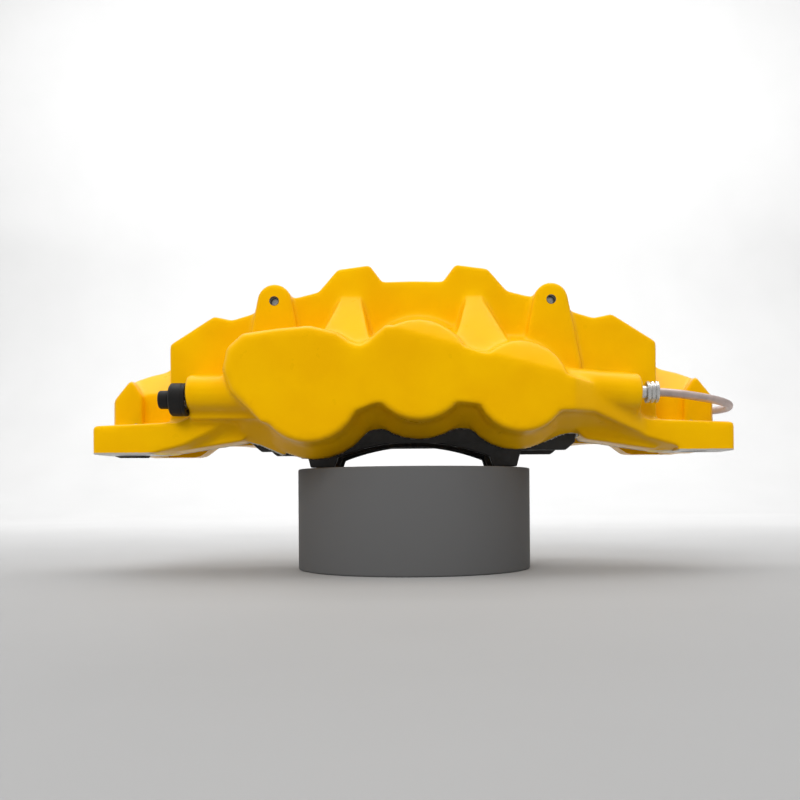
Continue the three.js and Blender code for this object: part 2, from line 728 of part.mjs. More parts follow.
for (const side of [-1, 1]) {
  // Side pieces are drawn at +Y, and turned half round for the inboard side
  const label = side < 0 ? 'inboard' : 'outboard';
  const turn = side < 0 ? Math.PI : 0;
  const sideGroup = new THREE.Group();
  sideGroup.rotation.z = turn;
  caliper.add(sideGroup);

  bores.forEach((bore, i) => {
    const at = [side * bore.x, 0, bore.z];
    place(sideGroup, `piston_${label}_${i + 1}`, piston(bore), anodised, at);
    place(sideGroup, `piston_seal_${label}_${i + 1}`, pistonSeal(bore), blackRubber, at);
    place(sideGroup, `dust_boot_${label}_${i + 1}`, dustBoot(bore), blackRubber, at);
  });

  place(sideGroup, `pad_plate_${label}`, backingPlate(), padBlack);
  place(sideGroup, `pad_lining_${label}`, frictionLining(), friction);
  place(sideGroup, `pad_shim_${label}`, padShim(), padBlack);
  const acrossSlot = [-padHalfWidth - padSlotHalfLength, 0, 0];
  const [leftAt, rightAt] = side > 0 ? [acrossSlot, [0, 0, 0]] : [[0, 0, 0], acrossSlot];
  place(sideGroup, `abutment_plate_${label}_left`, abutmentPlate(), stainless, leftAt);
  place(sideGroup, `abutment_plate_${label}_right`, abutmentPlate(), stainless, rightAt);

  const y = side * lineY;
  const bleedAt = [bleed.x, y, bleed.z];
  const portAt = [pipePort.x, y, pipePort.z];
  place(caliper, `bleed_screw_${label}`, bleedScrew(), zincSteel, bleedAt, towardsLeft);
  place(caliper, `bleed_cap_${label}`, bleedCap(), blackRubber, bleedAt, towardsLeft);
  place(caliper, `pipe_nut_${label}`, pipeNut(), zincSteel, portAt, towardsRight);
}

place(caliper, 'crossover_pipe', crossoverPipe(), bareTube);
place(caliper, 'pad_pin_left', padPin(), stainless, [-pin.x, 0, pin.z]);
place(caliper, 'pad_pin_right', padPin(), stainless, [pin.x, 0, pin.z]);
place(caliper, 'pad_spring', padSpring(), stainless);
place(caliper, 'bolt_insert_left', boltInsert(), stainless, [-earBoltX, earBoltY, 0], upright);
place(caliper, 'bolt_insert_right', boltInsert(), stainless, [earBoltX, earBoltY, 0], upright);
place(caliper, 'inlet_plug', inletPlug(), plugRed, [inlet.x, inlet.y, inlet.seatZ], upright);

export default caliper;
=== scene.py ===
"""Looks of a fixed six-piston brake caliper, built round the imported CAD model.

Pieces are drawn in millimetres from the caliper's own centre line: X along the pads, Y along
the disc's axis with the inboard side at -Y, Z up from the pads' feet.
"""

import math

import bmesh
import bpy
import numpy as np
import openvdb
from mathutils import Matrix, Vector


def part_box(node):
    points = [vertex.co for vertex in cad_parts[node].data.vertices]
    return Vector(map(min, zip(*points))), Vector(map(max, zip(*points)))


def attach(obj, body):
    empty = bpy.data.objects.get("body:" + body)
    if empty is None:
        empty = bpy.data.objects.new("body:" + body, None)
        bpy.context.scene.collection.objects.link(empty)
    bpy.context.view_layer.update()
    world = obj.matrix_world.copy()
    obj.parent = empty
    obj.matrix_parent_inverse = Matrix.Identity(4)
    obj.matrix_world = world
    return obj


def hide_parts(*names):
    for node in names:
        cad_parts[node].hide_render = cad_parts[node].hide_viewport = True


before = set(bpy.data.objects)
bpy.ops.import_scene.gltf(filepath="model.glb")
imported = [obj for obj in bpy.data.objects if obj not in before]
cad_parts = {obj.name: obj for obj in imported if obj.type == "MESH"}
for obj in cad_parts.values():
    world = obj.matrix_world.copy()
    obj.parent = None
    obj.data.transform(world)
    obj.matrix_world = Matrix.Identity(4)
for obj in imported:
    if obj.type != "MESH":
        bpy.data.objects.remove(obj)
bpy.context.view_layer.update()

MM = 0.001
CENTRE_X = (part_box("pad_pin_left")[0].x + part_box("pad_pin_right")[1].x) / 2 / MM
GAP = 0.3
SIDES = {"inboard": -1, "outboard": 1}
HANDS = {"left": -1, "right": 1}

# Disc and pad slots
DISC_AXIS_Z = -106
DISC_SLOT_RADIUS = 196
DISC_SLOT_HALF = 20
PAD_SLOT_HALF = 35
PAD_SLOT_HALF_LENGTH = 97.5
PAD_SLOT_TOP = 60
ARCH_UNDER_Z = 97

# Bores: distance along the pads, height and radius
BORES = [(-58, 41.7, 19), (3.3, 52.7, 17), (60, 43.4, 15)]
BORE_BOTTOM = 63
PISTON_BOTTOM = 61
PISTON_NOSE = 34.9
PISTON_WALL = 4
SEAL_FROM = 44
SEAL_TO = 48
SEAL_DEPTH = 3
BOOT_DEPTH = 4.5
BOOT_WIDTH = 4

# Pads and their pins
PAD_HALF = 95.5
LINING_INNER = 17.3
LINING_OUTER = 27.9
PLATE_INNER = 28.2
PLATE_OUTER = 33.7
SHIM_INNER = 34.0
SHIM_OUTER = 34.6
PIN_X = 80
PIN_Z = 96
PIN_RADIUS = 4
PUNCH_RADIUS = 2.4
LUG_FACE = 47

# Hydraulic line and its fittings
LINE_Y = 57
LINE_Z = 40
BLEED_X = -127.5
BLEED_Z = 38.3
PORT_X = 128.2
PORT_Z = 40.7
PORT_RADIUS = 5
PIPE_RADIUS = 2.4
PIPE_REACH = 195
INLET = (109, -50.5, 51)

# Mounting ears
EAR_BOLT_X = 165
EAR_BOLT_Y = -36
EAR_BOLT_RADIUS = 7.6
EAR_START = 139
EAR_END = 184.5
EAR_TOP = 24.5
EAR_UNDER = 8


# ---- Materials --------------------------------------------------------------------------------
class Shader:
    """Node material whose textures lie in the piece's own coordinates, in millimetres."""

    def __init__(self, name, **constants):
        self.material = bpy.data.materials.new(name)
        self.material.use_nodes = True
        self.tree = self.material.node_tree
        self.bsdf = self.tree.nodes["Principled BSDF"]
        for label, value in constants.items():
            self.bsdf.inputs[label.replace("_", " ")].default_value = value
        coordinates = self.add("ShaderNodeTexCoord")
        scaled = self.add("ShaderNodeVectorMath", operation="SCALE")
        scaled.inputs["Scale"].default_value = 1 / MM
        self.link(coordinates.outputs["Object"], scaled.inputs[0])
        self.place = scaled.outputs[0]

    def add(self, kind, **settings):
        node = self.tree.nodes.new(kind)
        for label, value in settings.items():
            setattr(node, label, value)
        return node

    def link(self, source, target):
        self.tree.links.new(source, target)

    def fill(self, socket, value):
        if hasattr(value, "links"):
            self.link(value, socket)
        else:
            socket.default_value = value

    def stretched(self, factors):
        node = self.add("ShaderNodeVectorMath", operation="MULTIPLY")
        self.link(self.place, node.inputs[0])
        node.inputs[1].default_value = factors
        return node.outputs[0]

    def noise(self, size, detail, roughness=0.5, stretch=None):
        node = self.add("ShaderNodeTexNoise")
        self.link(self.stretched(stretch) if stretch else self.place, node.inputs["Vector"])
        node.inputs["Scale"].default_value = 1 / size
        node.inputs["Detail"].default_value = detail
        node.inputs["Roughness"].default_value = roughness
        return node.outputs["Fac"]

    def cells(self, size):
        node = self.add("ShaderNodeTexVoronoi")
        self.link(self.place, node.inputs["Vector"])
        node.inputs["Scale"].default_value = 1 / size
        return node.outputs["Distance"]

    def maths(self, operation, a, b=0.0):
        node = self.add("ShaderNodeMath", operation=operation)
        self.fill(node.inputs[0], a)
        self.fill(node.inputs[1], b)
        return node.outputs[0]

    def range(self, value, low, high, to_low=0.0, to_high=1.0):
        node = self.add("ShaderNodeMapRange")
        self.fill(node.inputs["Value"], value)
        node.inputs["From Min"].default_value = low
        node.inputs["From Max"].default_value = high
        node.inputs["To Min"].default_value = to_low
        node.inputs["To Max"].default_value = to_high
        return node.outputs["Result"]

    def blend(self, factor, a, b):
        node = self.add("ShaderNodeMix", data_type="RGBA")
        self.fill(node.inputs["Factor"], factor)
        self.fill(node.inputs[6], a)
        self.fill(node.inputs[7], b)
        return node.outputs[2]

    def axes(self):
        """Y and Z, and the distances from the caliper's middle along X and from the disc."""
        split = self.add("ShaderNodeSeparateXYZ")
        self.link(self.place, split.inputs[0])
        x = self.maths("SUBTRACT", split.outputs[0], CENTRE_X)
        y, z = split.outputs[1], split.outputs[2]
        return y, z, self.maths("ABSOLUTE", x), self.maths("ABSOLUTE", y)

    def farthest(self, *values):
        """Largest of the values: the distance to the solid that they bound together."""
        longest = values[0]
        for value in values[1:]:
            longest = self.maths("MAXIMUM", longest, value)
        return longest

    def edges(self, low, high):
        """Worn-edge mask: one on outward edges."""
        pointiness = self.add("ShaderNodeNewGeometry").outputs["Pointiness"]
        return self.range(pointiness, low, high)

    def bump(self, height, depth, strength, under=None):
        node = self.add("ShaderNodeBump")
        node.inputs["Distance"].default_value = depth * MM
        node.inputs["Strength"].default_value = strength
        self.link(height, node.inputs["Height"])
        if under is not None:
            self.link(under, node.inputs["Normal"])
        return node.outputs["Normal"]

    def finish(self, colour, roughness, metallic, normal):
        self.fill(self.bsdf.inputs["Base Color"], colour)
        self.fill(self.bsdf.inputs["Roughness"], roughness)
        self.fill(self.bsdf.inputs["Metallic"], metallic)
        self.fill(self.bsdf.inputs["Normal"], normal)
        return self.material


def linear(red, green, blue):
    """Colour given as 0-255 display values, for a shader socket."""
    def channel(value):
        value /= 255
        return value / 12.92 if value <= 0.04045 else ((value + 0.055) / 1.055) ** 2.4
    return (channel(red), channel(green), channel(blue), 1.0)


def machined_distance(shader):
    """Distance to the nearest edge of the pad slot, the disc slot or an ear's bare underside."""
    y, z, from_middle, from_disc = shader.axes()
    pad_slot = shader.farthest(
        shader.maths("SUBTRACT", from_middle, PAD_SLOT_HALF_LENGTH),
        shader.maths("SUBTRACT", from_disc, PAD_SLOT_HALF),
        shader.maths("SUBTRACT", z, PAD_SLOT_TOP),
    )
    height = shader.maths("SUBTRACT", z, DISC_AXIS_Z)
    squares = shader.maths(
        "ADD", shader.maths("POWER", from_middle, 2), shader.maths("POWER", height, 2),
    )
    disc_slot = shader.farthest(
        shader.maths("SUBTRACT", shader.maths("SQRT", squares), DISC_SLOT_RADIUS),
        shader.maths("SUBTRACT", from_disc, DISC_SLOT_HALF),
    )
    ear = shader.farthest(
        shader.maths("ABSOLUTE", shader.maths("SUBTRACT", z, EAR_UNDER)),
        shader.maths("SUBTRACT", EAR_START, from_middle),
        shader.maths("ADD", y, DISC_SLOT_HALF),
    )
    slots = shader.maths(
        "MINIMUM", shader.maths("ABSOLUTE", pad_slot), shader.maths("ABSOLUTE", disc_slot),
    )
    return shader.maths("MINIMUM", slots, ear)


def casting_paint(name, bare_edges):
    """Gloss paint over a cast surface, machined away along the edges of the slots."""
    shader = Shader(name, IOR=1.5, Specular_IOR_Level=0.5, Specular_Tint=linear(255, 214, 70))
    tone = shader.range(shader.noise(30, detail=3), 0.35, 0.65)
    colour = shader.blend(tone, linear(239, 177, 0), linear(245, 186, 0))
    dust = shader.range(shader.noise(5, detail=6, roughness=0.7), 0.55, 0.8, 0.0, 0.12)
    colour = shader.blend(dust, colour, linear(220, 158, 4))
    peel = shader.bump(shader.noise(1.5, detail=2, roughness=0.4), 0.04, 0.15)
    cast = shader.bump(shader.noise(6, detail=4, roughness=0.55), 0.1, 0.16, under=peel)
    gloss = shader.range(shader.noise(11, detail=5), 0.3, 0.7, 0.27, 0.37)
    if not bare_edges:
        return shader.finish(colour, gloss, 0.0, cast)
    ragged = shader.maths("MULTIPLY", shader.noise(1.6, detail=5), 0.5)
    from_edge = shader.maths("ADD", machined_distance(shader), ragged)
    metal = shader.range(from_edge, 1.15, 1.05)
    colour = shader.blend(metal, colour, linear(226, 222, 214))
    return shader.finish(colour, gloss, metal, cast)


def machined_aluminium():
    """Bare cut metal with the tool's lines."""
    shader = Shader("machined_aluminium")
    lines = shader.noise(0.5, detail=3, stretch=(0.08, 1.6, 1.0))
    cloud = shader.noise(9, detail=5)
    colour = shader.blend(
        shader.range(cloud, 0.35, 0.7), linear(176, 174, 170), linear(206, 204, 200),
    )
    roughness = shader.range(lines, 0.3, 0.7, 0.26, 0.46)
    return shader.finish(colour, roughness, 1.0, shader.bump(lines, 0.02, 0.35))


def rubber(name, dark, pale):
    """Moulded rubber with a thin bloom of dust."""
    shader = Shader(name, IOR=1.5, Specular_IOR_Level=0.35, Sheen_Weight=0.02, Sheen_Roughness=0.4)
    dust = shader.range(shader.noise(6, detail=6, roughness=0.65), 0.45, 0.75)
    colour = shader.blend(dust, linear(*dark), linear(*pale))
    grain = shader.noise(0.45, detail=3)
    roughness = shader.range(shader.noise(3, detail=4), 0.3, 0.7, 0.42, 0.6)
    return shader.finish(colour, roughness, 0.0, shader.bump(grain, 0.03, 0.35))


def pad_coating():
    """Powder coat on a pad's backing plate, chipped to steel at its corners."""
    shader = Shader("pad_coating", IOR=1.5)
    cloud = shader.range(shader.noise(14, detail=5), 0.35, 0.7)
    colour = shader.blend(cloud, linear(14, 14, 14), linear(27, 26, 25))
    ragged = shader.noise(1.3, detail=6, roughness=0.7)
    chip = shader.maths("MULTIPLY", shader.edges(0.54, 0.62), shader.range(ragged, 0.5, 0.6))
    colour = shader.blend(chip, colour, linear(120, 116, 110))
    roughness = shader.range(shader.noise(2.2, detail=4), 0.3, 0.7, 0.42, 0.62)
    orange_peel = shader.noise(0.9, detail=2)
    return shader.finish(colour, roughness, chip, shader.bump(orange_peel, 0.06, 0.35))


def friction_compound():
    """Pressed friction material with brass, graphite and fibre flecks."""
    shader = Shader("friction_compound", IOR=1.45)
    base = shader.blend(
        shader.range(shader.noise(3.5, detail=6, roughness=0.7), 0.3, 0.7),
        linear(38, 35, 32), linear(66, 61, 56),
    )
    fleck = shader.range(shader.cells(1.1), 0.24, 0.16)
    brass = shader.range(shader.noise(2.0, detail=1), 0.56, 0.6)
    base = shader.blend(fleck, base, linear(98, 92, 84))
    metal = shader.maths("MULTIPLY", fleck, brass)
    colour = shader.blend(metal, base, linear(168, 124, 62))
    pits = shader.bump(shader.noise(0.8, detail=6, roughness=0.7), 0.25, 0.6)
    return shader.finish(colour, 0.88, shader.maths("MULTIPLY", metal, 0.7), pits)


def steel(name, tone, roughness, brush, size=0.35, relief=0.3):
    """Bare or plated steel with lines along one direction and small stains."""
    shader = Shader(name)
    lines = shader.noise(size, detail=3, stretch=brush)
    stain = shader.range(shader.noise(5, detail=6, roughness=0.65), 0.48, 0.72)
    darker = tuple(channel * 0.9 for channel in tone)
    colour = shader.blend(stain, linear(*tone), linear(*darker))
    low, high = roughness
    rough = shader.range(lines, 0.3, 0.7, low, high)
    return shader.finish(colour, rough, 1.0, shader.bump(lines, 0.02, relief))


def anodised():
    """Hard-anodised piston, turned lines round its skirt."""
    shader = Shader("hard_anodised")
    rings = shader.noise(0.4, detail=2, stretch=(0.1, 2.2, 0.1))
    cloud = shader.range(shader.noise(8, detail=4), 0.35, 0.7)
    colour = shader.blend(cloud, linear(92, 90, 84), linear(122, 119, 112))
    rough = shader.range(rings, 0.3, 0.7, 0.32, 0.5)
    return shader.finish(colour, rough, 0.85, shader.bump(rings, 0.02, 0.4))


def moulded_plastic():
    """Red plastic of the transit plug."""
    shader = Shader("moulded_plastic", IOR=1.46)
    tone = shader.range(shader.noise(2.5, detail=3), 0.35, 0.65)
    colour = shader.blend(tone, linear(132, 22, 18), linear(150, 30, 24))
    rough = shader.range(shader.noise(1.0, detail=3), 0.3, 0.7, 0.36, 0.5)
    return shader.finish(colour, rough, 0.0, shader.bump(shader.noise(0.5, detail=2), 0.02, 0.3))


def studio_grey(name, tone):
    """Matt neutral surface for the floor and the foot."""
    shader = Shader(name)
    cloud = shader.range(shader.noise(160, detail=4), 0.3, 0.7)
    paler = tone + 3
    colour = shader.blend(cloud, linear(tone, tone, tone), linear(paler, paler, paler))
    return shader.finish(colour, 0.75, 0.0, shader.bump(shader.noise(1.2, detail=3), 0.05, 0.1))


# ---- Mesh helpers -----------------------------------------------------------------------------
def in_frame(points):
    """Millimetres from the caliper's centre line, as metres in the model's frame."""
    return (np.asarray(points, float) + (CENTRE_X, 0, 0)) * MM


def new_object(name, mesh, material):
    mesh.materials.clear()
    mesh.materials.append(material)
    made = bpy.data.objects.new(name, mesh)
    bpy.context.scene.collection.objects.link(made)
    return made


def smooth(mesh, angle=32):
    mesh.shade_smooth()
    mesh.set_sharp_from_angle(angle=math.radians(angle))


def tidy_mesh(mesh, angle=32):
    """Joins doubled points, turns every face outward and smooths the shading."""
    work = bmesh.new()
    work.from_mesh(mesh)
    bmesh.ops.remove_doubles(work, verts=work.verts, dist=1e-7)
    bmesh.ops.recalc_face_normals(work, faces=work.faces)
    work.to_mesh(mesh)
    work.free()
    smooth(mesh, angle)


def from_faces(name, points, faces, material, angle=32):
    mesh = bpy.data.meshes.new(name)
    mesh.from_pydata([tuple(p) for p in in_frame(points)], [], faces)
    tidy_mesh(mesh, angle)
    return new_object(name, mesh, material)


def soften(outline, radius, steps=4):
    """Closed outline with every corner rounded to about the radius."""
    rounded = []
    count = len(outline)
    for i, corner in enumerate(outline):
        here = Vector(corner)
        before = Vector(outline[i - 1]) - here
        after = Vector(outline[(i + 1) % count]) - here
        turn = math.pi - before.angle(after, math.pi)
        reach = radius * math.tan(turn / 2)
        reach = min(reach, 0.45 * before.length, 0.45 * after.length)
        if reach < 0.02:
            rounded.append(tuple(here))
            continue
        start = here + before.normalized() * reach
        end = here + after.normalized() * reach
        for k in range(steps + 1):
            t = k / steps
            point = start * (1 - t) ** 2 + here * (2 * t * (1 - t)) + end * t * t
            rounded.append(tuple(point))
    return rounded


AXES = {
    "x": (Vector((1, 0, 0)), Vector((0, 1, 0)), Vector((0, 0, 1))),
    "y": (Vector((0, 1, 0)), Vector((0, 0, 1)), Vector((1, 0, 0))),
    "z": (Vector((0, 0, 1)), Vector((1, 0, 0)), Vector((0, 1, 0))),
}


def lathe(name, profile, at, axis, material, sense=1, segments=72, flats=None, edge=0.25):
    """Solid turned about an axis through `at`, from a closed profile of (radius, distance).

    A profile that touches the axis starts and ends there. `flats` clips it to a hexagon.
    """
    along, across, up = AXES[axis]
    solid_core = profile[0][0] == 0
    inner = soften(profile, edge)
    if solid_core:
        inner = [point for point in inner if point[0] > 1e-6]
        inner = [(0, profile[0][1])] + inner + [(0, profile[-1][1])]
    points = []
    rows = []
    centre = Vector(at)
    for radius, distance in inner:
        if radius < 1e-6:
            rows.append([len(points)] * segments)
            points.append(centre + along * (distance * sense))
            continue
        row = []
        for k in range(segments):
            angle = 2 * math.pi * k / segments
            reach = radius
            if flats:
                off = (angle + math.pi / 6) % (math.pi / 3) - math.pi / 6
                reach = min(radius, flats / 2 / math.cos(off))
            row.append(len(points))
            offset = across * math.cos(angle) * reach + up * math.sin(angle) * reach
            points.append(centre + along * (distance * sense) + offset)
        rows.append(row)
    faces = []
    for i in range(len(rows) - 1 if solid_core else len(rows)):
        a, b = rows[i], rows[(i + 1) % len(rows)]
        for k in range(segments):
            n = (k + 1) % segments
            corners = list(dict.fromkeys([a[k], a[n], b[n], b[k]]))
            if len(corners) > 2:
                faces.append(corners)
    return from_faces(name, points, faces, material)


def filled_outline(outlines, thickness=0.0, bevel=0.0):
    """Mesh of a flat shape in X and Y; the first outline is its rim and the rest are holes."""
    curve = bpy.data.curves.new("outline", "CURVE")
    curve.dimensions = "2D"
    curve.fill_mode = "BOTH"
    curve.extrude = thickness / 2 - bevel
    curve.bevel_depth = bevel
    curve.bevel_resolution = 2
    curve.offset = -bevel
    for outline in outlines:
        spline = curve.splines.new("POLY")
        spline.points.add(len(outline) - 1)
        for point, (x, y) in zip(spline.points, outline):
            point.co = (x, y, 0, 1)
        spline.use_cyclic_u = True
    holder = bpy.data.objects.new("outline", curve)
    mesh = bpy.data.meshes.new_from_object(holder)
    bpy.data.objects.remove(holder)
    bpy.data.curves.remove(curve)
    return mesh


def plate(name, outlines, y0, y1, material, bevel=0.35):
    """Flat piece that stands in the XZ plane between y0 and y1."""
    mesh = filled_outline(outlines, abs(y1 - y0), bevel)
    middle = (y0 + y1) / 2
    for vertex in mesh.vertices:
        x, z, y = vertex.co
        vertex.co = in_frame((x, middle + y, z))
    tidy_mesh(mesh)
    return new_object(name, mesh, material)


def circle(x, z, radius, count=32):
    angles = [2 * math.pi * k / count for k in range(count)]
    return [(x + radius * math.cos(angle), z + radius * math.sin(angle)) for angle in angles]


def arc(x, z, radius, start, end, count=16):
    angles = [start + (end - start) * k / count for k in range(count + 1)]
    return [(x + radius * math.cos(angle), z + radius * math.sin(angle)) for angle in angles]


def block(name, x, y, z, material):
    """Cutting box between pairs of corners."""
    points = [(x[i], y[j], z[k]) for i in (0, 1) for j in (0, 1) for k in (0, 1)]
    faces = [(0, 1, 3, 2), (4, 6, 7, 5), (0, 4, 5, 1), (2, 3, 7, 6), (0, 2, 6, 4), (1, 5, 7, 3)]
    return from_faces(name, points, faces, material)


def apply_modifiers(target):
    depsgraph = bpy.context.evaluated_depsgraph_get()
    mesh = bpy.data.meshes.new_from_object(target.evaluated_get(depsgraph), depsgraph=depsgraph)
    target.modifiers.clear()
    target.data = mesh


def cut(target, cutters):
    """Takes each cutter out of the target; cut faces keep the cutter's material."""
    for cutter in cutters:
        modifier = target.modifiers.new("cut", "BOOLEAN")
        modifier.operation = "DIFFERENCE"
        modifier.solver = "MANIFOLD"
        modifier.material_mode = "TRANSFER"
        modifier.object = cutter
    apply_modifiers(target)
    for cutter in cutters:
        bpy.data.objects.remove(cutter)


def fit(piece, body, slot, *nodes):
    """Puts a piece on its body in the place of its CAD nodes."""
    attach(piece, body)
    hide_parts(*nodes)


paint = casting_paint("casting_paint", bare_edges=True)
slot_paint = casting_paint("slot_paint", bare_edges=False)
bare = machined_aluminium()
black_rubber = rubber("black_rubber", (10, 8, 6), (26, 21, 17))
boot_rubber = rubber("boot_rubber", (28, 26, 25), (58, 54, 50))
coating = pad_coating()
friction = friction_compound()
stainless = steel("stainless", (196, 194, 190), (0.22, 0.4), (0.1, 1.0, 1.0))
spring_steel = steel("spring_steel", (180, 178, 174), (0.2, 0.36), (0.08, 1.2, 1.0))
zinc = steel("zinc_plate", (222, 221, 219), (0.2, 0.3), (1.0, 0.2, 0.2), size=0.8, relief=0.06)
tube = steel("tube_steel", (206, 187, 180), (0.4, 0.48), (0.2, 0.2, 1.0), size=1.6, relief=0.05)
piston_finish = anodised()
plastic = moulded_plastic()


# ---- Casting ----------------------------------------------------------------------------------
# Grid of the distance field, with its band and its empty margin in voxels
VOXEL = 0.7
BAND = 10
MARGIN = 14
VALLEY_SOFTNESS = 2.1
EDGE_SOFTNESS = 1.2

# Material that fills an opening while the edges are rounded
FILL_FLOOR = -3
FILL_INSET = 0.2
EAR_FILL_START = 152
EAR_FILL_NEAR = -50

# How far cutters reach: past the ends, past the ears and lugs, past the lobes, and below the
# body. The allowance takes them just past the machined faces.
BEYOND_X = 200
BEYOND_Y = 60
BEYOND_LOBES = 100
BEYOND_Z = -20
ALLOWANCE = 0.05
BODY_UNDER = 4.6
SPOTFACE_RADIUS = 8.8
CAP_SEAT_RADIUS = 9.2
PORT_DEPTH = 17


def blurred(field, softness):
    """Gaussian blur of a distance field; flat faces stay where they are."""
    sigma = softness / VOXEL
    reach = math.ceil(3 * sigma)
    weights = np.exp(-0.5 * (np.arange(-reach, reach + 1) / sigma) ** 2).astype(np.float32)
    weights /= weights.sum()
    for axis in range(3):
        margin = [(0, 0)] * 3
        margin[axis] = (reach, reach)
        padded = np.pad(field, margin, mode="edge")
        total = np.zeros_like(field)
        for i, weight in enumerate(weights):
            window = [slice(None)] * 3
            window[axis] = slice(i, i + field.shape[axis])
            total += weight * padded[tuple(window)]
        field = total
    return field


def distance_field(node):
    """The node's signed distances on a dense grid, with the grid's X, Y and Z in millimetres."""
    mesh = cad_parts[node].data
    mesh.calc_loop_triangles()
    points = np.zeros(len(mesh.vertices) * 3, np.float32)
    mesh.vertices.foreach_get("co", points)
    points = points.reshape(-1, 3) / MM - np.array((CENTRE_X, 0, 0), np.float32)
    triangles = np.zeros(len(mesh.loop_triangles) * 3, np.int32)
    mesh.loop_triangles.foreach_get("vertices", triangles)
    transform = openvdb.createLinearTransform(VOXEL)
    grid = openvdb.FloatGrid.createLevelSetFromPolygons(
        points, triangles=triangles.reshape(-1, 3).astype(np.uint32),
        transform=transform, halfWidth=BAND,
    )
    low, high = (np.array(corner) for corner in grid.evalActiveVoxelBoundingBox())
    low = low - MARGIN
    field = np.zeros(tuple(high + MARGIN - low + 1), np.float32)
    start = tuple(int(v) for v in low)
    grid.copyToArray(field, ijk=start)
    x, y, z = (
        (low[i] + np.arange(field.shape[i], dtype=np.float32)) * VOXEL for i in range(3)
    )
    return field, start, transform, (x[:, None, None], y[None, :, None], z[None, None, :])


def field_mesh(field, start, transform):
    grid = openvdb.FloatGrid(BAND * VOXEL)
    grid.transform = transform
    grid.gridClass = openvdb.GridClass.LEVEL_SET
    grid.copyFromArray(field, ijk=start, tolerance=0.0)
    points, triangles, quads = grid.convertToPolygons(isovalue=0.0, adaptivity=0.035)
    return points, [tuple(map(int, face)) for faces in (triangles, quads) for face in faces]


def cylinder_field(across, along, radius, low, high):
    """Distance to a cylinder given the squared distance from its axis."""
    middle = (low + high) / 2
    return np.maximum(np.sqrt(across) - radius, np.abs(along - middle) - (high - low) / 2)


def box_field(grid, *spans):
    """Distance to a box given its low and high ends along X, Y and Z."""
    parts = [
        np.abs(axis - (low + high) / 2) - (high - low) / 2
        for axis, (low, high) in zip(grid, spans)
    ]
    return np.maximum(np.maximum(parts[0], parts[1]), parts[2])


def casting_mesh():
    """The cast body with rounded edges and valleys, its machined openings still filled."""
    field, start, transform, grid = distance_field("caliper_body")
    x, y, z = grid
    for bore_x, bore_z, radius in BORES:
        across = (x - bore_x) ** 2 + (z - bore_z) ** 2
        plug = cylinder_field(
            across, np.abs(y), radius + BOOT_WIDTH + 1, PAD_SLOT_HALF - 1, BORE_BOTTOM + 1,
        )
        field = np.minimum(field, plug)
    line = (np.abs(y) - LINE_Y) ** 2 + (z - LINE_Z) ** 2
    field = np.minimum(field, cylinder_field(line, x, PORT_RADIUS + 2.5, BLEED_X, PORT_X))
    for pin_x in (-PIN_X, PIN_X):
        across = (x - pin_x) ** 2 + (z - PIN_Z) ** 2
        plug = cylinder_field(across, np.abs(y), PIN_RADIUS + 1, PAD_SLOT_HALF, LUG_FACE)
        field = np.minimum(field, plug)
    for ear_x in (-EAR_BOLT_X, EAR_BOLT_X):
        across = (x - ear_x) ** 2 + (y - EAR_BOLT_Y) ** 2
        plug = cylinder_field(across, z, EAR_BOLT_RADIUS + 1, EAR_UNDER, EAR_TOP)
        field = np.minimum(field, plug)
    across = (x - INLET[0]) ** 2 + (y - INLET[1]) ** 2
    field = np.minimum(field, cylinder_field(across, z, PORT_RADIUS + 1, LINE_Z - 2, INLET[2]))
    field = np.minimum(field, blurred(field, VALLEY_SOFTNESS))
    pad_reach = PAD_SLOT_HALF_LENGTH - FILL_INSET
    pad_wall = PAD_SLOT_HALF - FILL_INSET
    slots = np.minimum(
        box_field(
            grid, (-pad_reach, pad_reach), (-pad_wall, pad_wall), (BEYOND_Z, PAD_SLOT_TOP),
        ),
        cylinder_field(
            x ** 2 + (z - DISC_AXIS_Z) ** 2, y, DISC_SLOT_RADIUS - FILL_INSET,
            FILL_INSET - DISC_SLOT_HALF, DISC_SLOT_HALF - FILL_INSET,
        ),
    )
    slots = np.maximum(slots, FILL_FLOOR - z)
    ears = box_field(
        (np.abs(x), y, z), (EAR_FILL_START, EAR_END), (EAR_FILL_NEAR, -DISC_SLOT_HALF),
        (EAR_UNDER - 6, EAR_UNDER + 2),
    )
    field = np.minimum(field, np.minimum(slots, ears))
    field = np.maximum(field, blurred(field, EDGE_SOFTNESS))
    return field_mesh(field, start, transform)


def bore_cutter(bore, side):
    """Bore with its seal groove and the wider pocket for the boot's bead."""
    x, z, radius = bore
    wide = radius + GAP
    pocket = radius + BOOT_WIDTH
    profile = [
        (0, PAD_SLOT_HALF - 5), (pocket + 0.5, PAD_SLOT_HALF - 5), (pocket + 0.5, PAD_SLOT_HALF),
        (pocket, PAD_SLOT_HALF + 0.5), (pocket, PAD_SLOT_HALF + BOOT_DEPTH),
        (wide + 0.5, PAD_SLOT_HALF + BOOT_DEPTH), (wide, PAD_SLOT_HALF + BOOT_DEPTH + 0.5),
        (wide, SEAL_FROM), (wide + SEAL_DEPTH, SEAL_FROM), (wide + SEAL_DEPTH, SEAL_TO),
        (wide, SEAL_TO), (wide, BORE_BOTTOM), (0, BORE_BOTTOM),
    ]
    return lathe("bore_cutter", profile, (x, 0, z), "y", bare, side, 96, edge=0)


